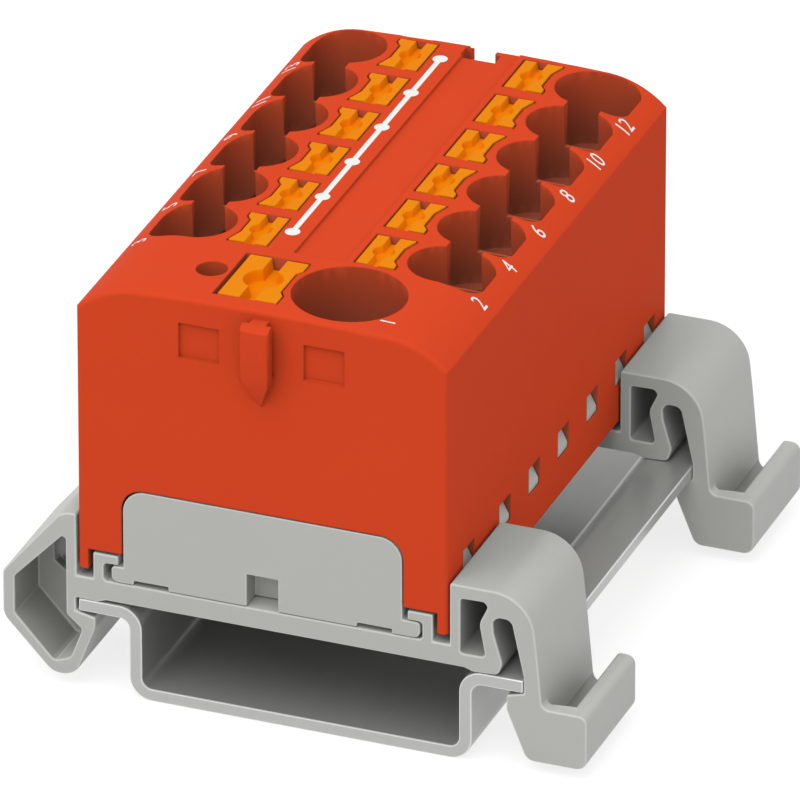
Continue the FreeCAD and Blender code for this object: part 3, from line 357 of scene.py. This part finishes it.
def calm_bounce(material, colour):
    """Let what a strong colour throws on its neighbours, as light or as a reflection, be plainer."""
    tree = material.node_tree
    base = tree.nodes["Principled BSDF"].inputs["Base Color"]
    path = add_node(tree, "ShaderNodeLightPath")
    calm = add_node(tree, "ShaderNodeMix", {"data_type": "RGBA"}, {MIX_B: shade_of(colour, 1)})
    thrown = add_node(tree, "ShaderNodeMath", {"operation": "MAXIMUM"})
    tree.links.new(path.outputs["Is Diffuse Ray"], thrown.inputs[0])
    tree.links.new(path.outputs["Is Glossy Ray"], thrown.inputs[1])
    tree.links.new(thrown.outputs[0], calm.inputs[MIX_FACTOR])
    tree.links.new(base.links[0].from_socket, calm.inputs[MIX_A])
    tree.links.new(calm.outputs[MIX_RESULT], base)


def entry_plastic(name, looks, crown):
    """The housing's plastic inside its entries, where little light comes back out: that shade is painted,
    as a red that darkens from just below the crown towards the entry floors.
    """
    material = moulded_plastic(name, looks.wall_colour, looks.roughness, looks.gloss, looks.soft_edge)
    tree = material.node_tree
    shader = tree.nodes["Principled BSDF"]
    wall = shader.inputs["Base Color"].links[0].from_socket
    place = add_node(tree, "ShaderNodeTexCoord")
    height = add_node(tree, "ShaderNodeSeparateXYZ")
    # Painted shade: the red darkens with the depth below the crown.
    depth = add_node(tree, "ShaderNodeMapRange", {"interpolation_type": "SMOOTHSTEP"},
                     {"From Min": crown, "From Max": crown - looks.depth, "To Min": 0.0, "To Max": 1.0})
    shade_deeper = add_node(tree, "ShaderNodeMix", {"data_type": "RGBA"}, {MIX_B: shade_of(looks.deep_colour, 1)})
    tree.links.new(place.outputs["Object"], height.inputs[0])
    tree.links.new(height.outputs["Z"], depth.inputs["Value"])
    tree.links.new(depth.outputs["Result"], shade_deeper.inputs[MIX_FACTOR])
    tree.links.new(wall, shade_deeper.inputs[MIX_A])
    tree.links.new(shade_deeper.outputs[MIX_RESULT], shader.inputs["Base Color"])
    return material


def rolled_metal(name, colour, roughness, metallic=1.0, streak=(2500.0, 60.0, 2500.0), streak_range=0.04,
                 cloud=220.0, cloud_range=0.2, relief=0.001 * MM):
    """Rolled sheet metal: streaks in colour and relief along Y, as it was rolled, and cloudy gloss."""
    material, tree, shader = new_material(name)
    place = add_node(tree, "ShaderNodeTexCoord")
    stretch = add_node(tree, "ShaderNodeMapping")
    stretch.inputs["Scale"].default_value = streak
    streaks = add_node(tree, "ShaderNodeTexNoise", values={"Scale": 1.0, "Detail": 3.0, "Roughness": 0.6})
    clouds = add_node(tree, "ShaderNodeTexNoise", values={"Scale": cloud, "Detail": 3.0, "Roughness": 0.55})
    toned(tree, streaks.outputs["Fac"], colour, streak_range, shader)
    gloss = add_node(tree, "ShaderNodeMapRange", values={
        "To Min": roughness * (1 - cloud_range), "To Max": roughness * (1 + cloud_range)})
    bump = add_node(tree, "ShaderNodeBump", values={"Strength": 0.25, "Distance": relief})
    links = tree.links
    links.new(place.outputs["Object"], stretch.inputs["Vector"])
    links.new(place.outputs["Object"], clouds.inputs["Vector"])
    links.new(stretch.outputs["Vector"], streaks.inputs["Vector"])
    links.new(clouds.outputs["Fac"], gloss.inputs["Value"])
    links.new(gloss.outputs["Result"], shader.inputs["Roughness"])
    links.new(streaks.outputs["Fac"], bump.inputs["Height"])
    links.new(bump.outputs["Normal"], shader.inputs["Normal"])
    shader.inputs["Metallic"].default_value = metallic
    return material


def printing_ink(name, colour, cloud_range=0.04):
    """Opaque pad-printed ink, a little uneven where it lies on the plastic."""
    material, tree, shader = new_material(name)
    effect = add_node(tree, "ShaderNodeGroup", {"node_tree": moulded_grain()},
                      {"Grain": 4500.0, "Cloud": 900.0, "Roughness": 0.55, "Spread": 0.2})
    toned(tree, effect.outputs["Tone"], colour, cloud_range, shader)
    tree.links.new(effect.outputs["Roughness"], shader.inputs["Roughness"])
    return material


# Meshes

def new_piece(name, work, materials, body, smooth_angle=math.radians(32)):
    """Turn a finished bmesh into a piece, which rides on its body if that is given."""
    mesh = bpy.data.meshes.new(name)
    work.to_mesh(mesh)
    work.free()
    for polygon in mesh.polygons:
        polygon.use_smooth = True
    mesh.set_sharp_from_angle(angle=smooth_angle)
    for material in materials:
        mesh.materials.append(material)
    piece = bpy.data.objects.new(name, mesh)
    bpy.context.scene.collection.objects.link(piece)
    if body:
        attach(piece, body)
    return piece


def merged_copy(node, weld=WELD, flat=math.radians(0.5)):
    """A node's loose triangles welded into faces as large as they are flat."""
    work = bmesh.new()
    work.from_mesh(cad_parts[node].data)
    bmesh.ops.remove_doubles(work, verts=work.verts, dist=weld)
    bmesh.ops.dissolve_degenerate(work, dist=weld, edges=work.edges)
    bmesh.ops.dissolve_limit(work, angle_limit=flat, verts=work.verts, edges=work.edges)
    return work


def round_edges(work, width, wanted=None, sharp=math.radians(35), segments=2):
    """Round the edges that are sharper than an angle, or only the wanted ones, and return the new faces."""
    edges = [edge for edge in work.edges
             if len(edge.link_faces) == 2 and edge.calc_face_angle(0) > sharp
             and (wanted is None or wanted(edge))]
    rounded = bmesh.ops.bevel(work, geom=edges, offset=width, offset_type="OFFSET", segments=segments,
                              profile=0.5, affect="EDGES", clamp_overlap=False, material=-1)
    return rounded["faces"]


def extent(work):
    """Lowest and highest X and Y of a mesh."""
    places = [[vertex.co[axis] for vertex in work.verts] for axis in (0, 1)]
    return [min(values) for values in places], [max(values) for values in places]


def cut_fine(work, step):
    """Cut a mesh across so that it can follow a curve."""
    lows, highs = extent(work)
    normals = ((1, 0, 0), (0, 1, 0))
    for low, high, normal in zip(lows, highs, normals):
        count = max(1, math.ceil((high - low) / step))
        for index in range(1, count):
            place = low + (high - low) * index / count
            bmesh.ops.bisect_plane(work, geom=work.verts[:] + work.edges[:] + work.faces[:],
                                   dist=1e-9, plane_co=Vector(normal) * place, plane_no=normal)


def surface_of(node):
    """A search tree of a node's surface."""
    work = merged_copy(node)
    tree = BVHTree.FromBMesh(work)
    work.free()
    return tree


def dressed_node(node, width, materials, body, wanted=None, choose=None, rim=None):
    """A merged copy of a node, its edges or the wanted ones rounded, standing for that node.

    Choose gives the number of a face's material, and rim is the number for the rounded edges.
    """
    work = merged_copy(node)
    rims = round_edges(work, width, wanted)
    if choose:
        for face in work.faces:
            face.material_index = choose(face)
    # The rounded edges get their own material, which is a painted highlight.
    if rim is not None:
        for face in rims:
            face.material_index = rim
    piece = new_piece(node + "_dressed", work, materials, body)
    piece.modifiers.new("Even Normals", "WEIGHTED_NORMAL").keep_sharp = True
    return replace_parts(piece, node)


def bent_leaf(node, material, cut=0.5 * MM):
    """A clamp spring, cut finely across so that it could follow a bend, standing in for its node.

    Its slanted leg bends down when its button is pressed; this function does not bend it.
    """
    work = merged_copy(node)
    cut_fine(work, cut)
    leaf = new_piece(node + "_dressed", work, [material], None)
    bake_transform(leaf)
    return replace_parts(leaf, node)


def painted_node(node, material):
    """A node whose own shape is right gets its material."""
    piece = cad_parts[node]
    piece.data.materials.clear()
    piece.data.materials.append(material)
    return piece


# Marks

def lay_on_crown(work, surface, film):
    """Drop a flat print onto the crown and give the ink its thickness."""
    for vertex in work.verts:
        hit = surface.ray_cast(Vector((vertex.co.x, vertex.co.y, ABOVE_CROWN)), Vector((0, 0, -1)))
        vertex.co.z = hit[0].z + film
    base = list(work.faces)
    grown = bmesh.ops.extrude_face_region(work, geom=base)
    top = [item for item in grown["geom"] if isinstance(item, bmesh.types.BMVert)]
    bmesh.ops.translate(work, verts=top, vec=(0, 0, film))
    bmesh.ops.recalc_face_normals(work, faces=work.faces)


def printed_number(number, x, y, height, surface, film, material, cut=0.3 * MM):
    """A number whose digits read along Y, with their tops towards -X."""
    curve = bpy.data.curves.new("number_%d" % number, "FONT")
    curve.body = str(number)
    curve.resolution_u = 4
    letter = bpy.data.objects.new("number_curve", curve)
    bpy.context.scene.collection.objects.link(letter)
    bpy.context.view_layer.update()
    flat = bpy.data.meshes.new_from_object(letter.evaluated_get(bpy.context.evaluated_depsgraph_get()))
    work = bmesh.new()
    work.from_mesh(flat)
    bpy.data.objects.remove(letter)
    bpy.data.curves.remove(curve)
    bpy.data.meshes.remove(flat)
    lows, highs = extent(work)
    middle = Vector(((lows[0] + highs[0]) / 2, (lows[1] + highs[1]) / 2, 0))
    place = (Matrix.Translation((x, y, 0)) @ Matrix.Rotation(math.pi / 2, 4, "Z")
             @ Matrix.Scale(height / (highs[1] - lows[1]), 4) @ Matrix.Translation(-middle))
    bmesh.ops.transform(work, matrix=place, verts=work.verts)
    bmesh.ops.remove_doubles(work, verts=work.verts, dist=WELD)
    cut_fine(work, cut)
    lay_on_crown(work, surface, film)
    return new_piece("printed_number_%d" % number, work, [material], CARRIER)


def printed_line(x, start, end, dots, width, dot_width, surface, film, dot_lift, material, cut=1.0 * MM,
                 dot_cut=2.0 * MM, dot_corners=32):
    """The line that joins the clamping points, with a dot beside each row."""
    work = bmesh.new()
    middle = Matrix.Translation((x, (start + end) / 2, 0))
    bmesh.ops.create_grid(work, x_segments=1, y_segments=1, size=0.5,
                          matrix=middle @ Matrix.Diagonal((width, end - start, 1, 1)))
    cut_fine(work, cut)
    lay_on_crown(work, surface, film)
    line = new_piece("printed_line", work, [material], CARRIER)
    work = bmesh.new()
    for index in range(dots):
        y = start + (end - start) * index / (dots - 1)
        bmesh.ops.create_circle(work, cap_ends=True, segments=dot_corners, radius=dot_width / 2,
                                matrix=Matrix.Translation((x, y, 0)))
    cut_fine(work, dot_cut)
    lay_on_crown(work, surface, film * dot_lift)
    return line, new_piece("printed_dots", work, [material], CARRIER)


# Which edges are rounded, and which material a face gets, which decides where shade or a highlight is
# painted

def clear_of_ends(edge, margin=0.3 * MM):
    """Whether an edge of the housing lies clear of its front and rear faces."""
    return all(FRONT_Y + margin < vertex.co.y < HOUSING_HIGH.y - margin for vertex in edge.verts)


def housing_parts(surface, outer=0.05 * MM, aside=0.013 * MM, behind=0.5 * MM, front=0.6 * MM,
                  shallow=0.15 * MM, step=0.6 * MM, level=0.7, around=0.4 * MM):
    """The number of a housing face's material: 0 outside, 1 in an entry and 2 in a button's well, where 1
    and 2 carry painted shade.

    The crown is as high everywhere along the block as it is just behind the front face. A face is
    sunk when it lies more than shallow below the crown, or more than a step where it is level.
    """
    wells = [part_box(button) for button in BUTTONS]

    def part_of(face):
        place = face.calc_center_median()
        beside = min(place.x - HOUSING_LOW.x, HOUSING_HIGH.x - place.x, HOUSING_HIGH.y - place.y) > outer
        above = Vector((place.x + aside, FRONT_Y + behind, ABOVE_CROWN))
        hit = surface.ray_cast(above, Vector((0, 0, -1)))
        below = hit[0].z - place.z if hit[0] else 0
        sunk = below > (step if face.normal.z > level else shallow)
        if not (beside and sunk and place.y > FRONT_Y + front):
            return 0
        in_well = any(low.x < place.x + around and place.x - around < high.x
                      and low.y < place.y + around and place.y - around < high.y
                      and face.normal.dot((low + high) / 2 - place) > 0 for low, high in wells)
        return 2 if in_well else 1
    return part_of


def hollow_parts(surface, reach=7 * MM, off=0.02 * MM):
    """Whether a face is inside a hollow, because it looks at its own piece close by, and so gets painted
    shade.
    """
    def part_of(face):
        start = face.calc_center_median() + face.normal * off
        return INSIDE_SHADE if surface.ray_cast(start, face.normal, reach)[0] else OUTSIDE
    return part_of


def channel_parts(top, margin=0.2 * MM, inwards=0.1 * MM, down=-0.1, end_on=0.5):
    """Whether a rail face is inside the channel, between its floor and its top, and so gets painted shade.
    """
    def part_of(face):
        place, normal = face.calc_center_median(), face.normal
        inward = normal.x * place.x < inwards and normal.z > down and abs(normal.y) < end_on
        return INSIDE_SHADE if inward and place.z < top - margin else OUTSIDE
    return part_of


# Operators: one for each piece or group of like pieces, and one for the stage

class BLOCK_OT_housing(Operator):
    """Dress the moulded housing"""
    bl_idname = "block.housing"
    bl_label = "Housing"

    def execute(self, context):
        looks = context.scene.block_housing
        skin = moulded_plastic("Red Plastic", looks.colour, looks.roughness, looks.gloss, looks.soft_edge)
        # Painted shade: the entry walls and the button wells get darker reds than the outside of the
        # housing.
        walls = entry_plastic("Red Plastic Inside", looks, HOUSING_HIGH.z)
        wells = moulded_plastic("Red Plastic Well Shade", looks.deep_colour, looks.roughness, looks.gloss)
        for material in (skin, walls, wells):
            calm_bounce(material, looks.bounce)
        dressed_node("housing", looks.edge, [skin, walls, wells], CARRIER, clear_of_ends,
                     housing_parts(surface_of("housing")))
        return {"FINISHED"}


class BLOCK_OT_buttons(Operator):
    """Dress the release buttons"""
    bl_idname = "block.buttons"
    bl_label = "Buttons"

    def execute(self, context):
        looks = context.scene.block_buttons
        material = moulded_plastic("Orange Plastic", looks.colour, looks.roughness, looks.gloss)
        for node in BUTTONS:
            dressed_node(node, looks.edge, [material], node)
        return {"FINISHED"}


class BLOCK_OT_grey_parts(Operator):
    """Dress the rail adapters and the base cover"""
    bl_idname = "block.grey_parts"
    bl_label = "Adapters and Cover"

    def execute(self, context):
        looks = context.scene.block_grey
        for name, nodes, edge, slot in (
                ("Grey Plastic", ADAPTERS, looks.edge, "grey_plastic"),
                ("Cover Plastic", ["base_cover"], looks.cover_edge, "cover_plastic")):
            # The plain grey, a lighter grey on the rounded edges as a painted highlight, and a darker grey
            # inside hollows as painted shade.
            materials = [moulded_plastic(name + part, shade_of(looks.colour, tone)[:3], looks.roughness,
                                         looks.gloss)
                         for part, tone in (("", 1), (" Rim", looks.rim), (" Hollow", looks.hollow))]
            for node in nodes:
                dressed_node(node, edge, materials, CARRIER, choose=hollow_parts(surface_of(node)),
                             rim=RIM_HIGHLIGHT)
        return {"FINISHED"}


class BLOCK_OT_metal_parts(Operator):
    """Dress the rail section, the busbar and the clamp springs"""
    bl_idname = "block.metal_parts"
    bl_label = "Metal Parts"

    def execute(self, context):
        looks = context.scene.block_metal
        steel = rolled_metal("Rail Steel", looks.rail_colour, looks.rail_roughness, looks.rail_metallic)
        # The rounded rims get a lighter steel, partly bare steel at the cut edges and partly a painted
        # highlight; the channel gets a darker steel as painted shade.
        rim = rolled_metal("Rail Rim", looks.rim_colour, looks.rail_roughness, looks.rail_metallic)
        inside = rolled_metal("Rail Inside", shade_of(looks.rail_colour, looks.inside)[:3],
                              looks.rail_roughness, looks.rail_metallic)
        dressed_node("rail_section", looks.edge, [steel, rim, inside], CARRIER,
                     choose=channel_parts(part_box("rail_section")[1].z), rim=RIM_HIGHLIGHT)
        bar = rolled_metal("Bar Metal", looks.bar_colour, looks.bar_roughness)
        painted_node("busbar", bar)
        spring = rolled_metal("Spring Steel", looks.spring_colour, looks.spring_roughness)
        for node, button in zip(SPRINGS, BUTTONS):
            bent_leaf(node, spring)
        return {"FINISHED"}


class BLOCK_OT_marks(Operator):
    """Print the line of dots and the clamping point numbers"""
    bl_idname = "block.marks"
    bl_label = "Printed Marks"

    def execute(self, context):
        looks = context.scene.block_marks
        ink = printing_ink("Marking Ink", looks.colour)
        surface = surface_of("housing")
        printed_line(LINE_X, LINE_START, LINE_END, looks.dots, looks.line_width, looks.dot_width, surface,
                     looks.film, looks.dot_lift, ink)
        printed_number(1, LARGE_NUMBER_X, LARGE_NUMBER_Y, looks.digit_height, surface, looks.film, ink)
        for row in range(SMALL_ROWS):
            for number, side in ((2 + 2 * row, 1), (3 + 2 * row, -1)):
                printed_number(number, BLOCK_X + side * SMALL_NUMBER_OUT,
                               FIRST_ROW_Y + (row - SMALL_NUMBER_FORWARD) * PITCH,
                               looks.digit_height, surface, looks.film, ink)
        return {"FINISHED"}


class BLOCK_OT_stage(Operator):
    """Lay the floor, hang the lamps and set the camera"""
    bl_idname = "block.stage"
    bl_label = "Stage"

    def execute(self, context):
        looks = context.scene.block_stage
        context.scene.view_settings.view_transform = "Standard"
        pale_floor(looks.floor_colour, looks.white)
        soft_sky(looks.sky)
        large_lamp("key", looks.key, looks.key_width, KEY_PLACE)
        set_camera(looks.azimuth, looks.elevation, looks.distance, looks.lens)
        return {"FINISHED"}


# Stage

def sees_backdrop(tree):
    """One where the camera, a reflection or a clear piece looks at the backdrop, and nought elsewhere."""
    path = add_node(tree, "ShaderNodeLightPath")
    seen = path.outputs["Is Camera Ray"]
    for ray in ("Is Glossy Ray", "Is Transmission Ray"):
        either = add_node(tree, "ShaderNodeMath", {"operation": "MAXIMUM"})
        tree.links.new(seen, either.inputs[0])
        tree.links.new(path.outputs[ray], either.inputs[1])
        seen = either.outputs[0]
    return seen


def pale_floor(colour, white, reach=2.5, gap=0.02 * MM, roughness=0.8, shadow=1.6):
    """A wide floor that shows white to the camera and keeps a faint shadow.

    The share of it that isn't always white takes the light, times the shadow's strength.
    """
    work = bmesh.new()
    bmesh.ops.create_grid(work, x_segments=1, y_segments=1, size=reach)
    mesh = bpy.data.meshes.new("floor")
    work.to_mesh(mesh)
    work.free()
    floor = bpy.data.objects.new("floor", mesh)
    bpy.context.scene.collection.objects.link(floor)
    floor.location.z = CAD_BOX[0].z - gap
    material, tree, shader = new_material("Pale Floor")
    shader.inputs["Base Color"].default_value = shade_of(colour, 1)
    shader.inputs["Roughness"].default_value = roughness
    glow = add_node(tree, "ShaderNodeEmission", values={"Color": (1, 1, 1, 1), "Strength": white})
    shade = add_node(tree, "ShaderNodeBsdfDiffuse")
    shade.inputs["Color"].default_value = shade_of((1 - white,) * 3, shadow)
    shown = add_node(tree, "ShaderNodeAddShader")
    choose = add_node(tree, "ShaderNodeMixShader")
    tree.links.new(glow.outputs[0], shown.inputs[0])
    tree.links.new(shade.outputs[0], shown.inputs[1])
    tree.links.new(sees_backdrop(tree), choose.inputs[0])
    tree.links.new(shader.outputs[0], choose.inputs[1])
    tree.links.new(shown.outputs[0], choose.inputs[2])
    tree.links.new(choose.outputs[0], tree.nodes["Material Output"].inputs["Surface"])
    mesh.materials.append(material)


def soft_sky(strength):
    """Even light from all round, white where the camera or a reflection sees it."""
    world = bpy.data.worlds.new("Soft Sky")
    bpy.context.scene.world = world
    world.use_nodes = True
    tree = world.node_tree
    sky = tree.nodes["Background"]
    sky.inputs["Color"].default_value = (1, 1, 1, 1)
    sky.inputs["Strength"].default_value = strength
    seen = add_node(tree, "ShaderNodeBackground", values={"Color": (1, 1, 1, 1), "Strength": 1.0})
    choose = add_node(tree, "ShaderNodeMixShader")
    tree.links.new(sees_backdrop(tree), choose.inputs[0])
    tree.links.new(sky.outputs[0], choose.inputs[1])
    tree.links.new(seen.outputs[0], choose.inputs[2])
    tree.links.new(choose.outputs[0], tree.nodes["World Output"].inputs["Surface"])


def large_lamp(name, power, width, place):
    lamp = bpy.data.lights.new(name, "AREA")
    lamp.energy = power
    lamp.shape = "SQUARE"
    lamp.size = width
    piece = bpy.data.objects.new(name, lamp)
    bpy.context.scene.collection.objects.link(piece)
    piece.location = place
    piece.rotation_mode = "QUATERNION"
    piece.rotation_quaternion = (TARGET - Vector(place)).to_track_quat("-Z", "Y")


def set_camera(azimuth, elevation, distance, lens, sensor=36.0, near=0.05, far=50.0):
    """The camera, at the photograph's viewing angle, which was worked out from edges of known size."""
    data = bpy.data.cameras.new("camera")
    data.lens = lens
    data.sensor_width = sensor
    data.clip_start = near
    data.clip_end = far
    camera = bpy.data.objects.new("camera", data)
    bpy.context.scene.collection.objects.link(camera)
    back = Vector((math.sin(azimuth) * math.cos(elevation), -math.cos(azimuth) * math.cos(elevation),
                   math.sin(elevation)))
    camera.location = TARGET + back * distance
    camera.rotation_mode = "QUATERNION"
    camera.rotation_quaternion = (-back).to_track_quat("-Z", "Y")
    bpy.context.scene.camera = camera


OPERATORS = (BLOCK_OT_housing, BLOCK_OT_buttons, BLOCK_OT_grey_parts, BLOCK_OT_metal_parts, BLOCK_OT_marks,
             BLOCK_OT_stage)


class BLOCK_PT_panel(Panel):
    """Steps that dress the block, and their settings"""
    bl_idname = "BLOCK_PT_panel"
    bl_label = "Distribution Block"
    bl_space_type = "VIEW_3D"
    bl_region_type = "UI"
    bl_category = "Distribution Block"

    def draw(self, context):
        for operator in OPERATORS:
            self.layout.operator(operator.bl_idname)
        for name, looks in LOOKS.items():
            box = self.layout.box()
            for setting in looks.__annotations__:
                box.prop(getattr(context.scene, name), setting)


def register():
    for looks in LOOKS.values():
        bpy.utils.register_class(looks)
    for name, looks in LOOKS.items():
        setattr(bpy.types.Scene, name, PointerProperty(type=looks))
    for operator in OPERATORS:
        bpy.utils.register_class(operator)
    bpy.utils.register_class(BLOCK_PT_panel)


def unregister():
    bpy.utils.unregister_class(BLOCK_PT_panel)
    for operator in reversed(OPERATORS):
        bpy.utils.unregister_class(operator)
    for name, looks in LOOKS.items():
        delattr(bpy.types.Scene, name)
        bpy.utils.unregister_class(looks)


def main():
    register()
    bpy.ops.block.housing()
    bpy.ops.block.buttons()
    bpy.ops.block.grey_parts()
    bpy.ops.block.metal_parts()
    bpy.ops.block.marks()
    bpy.ops.block.stage()


if __name__ == "__main__":
    main()
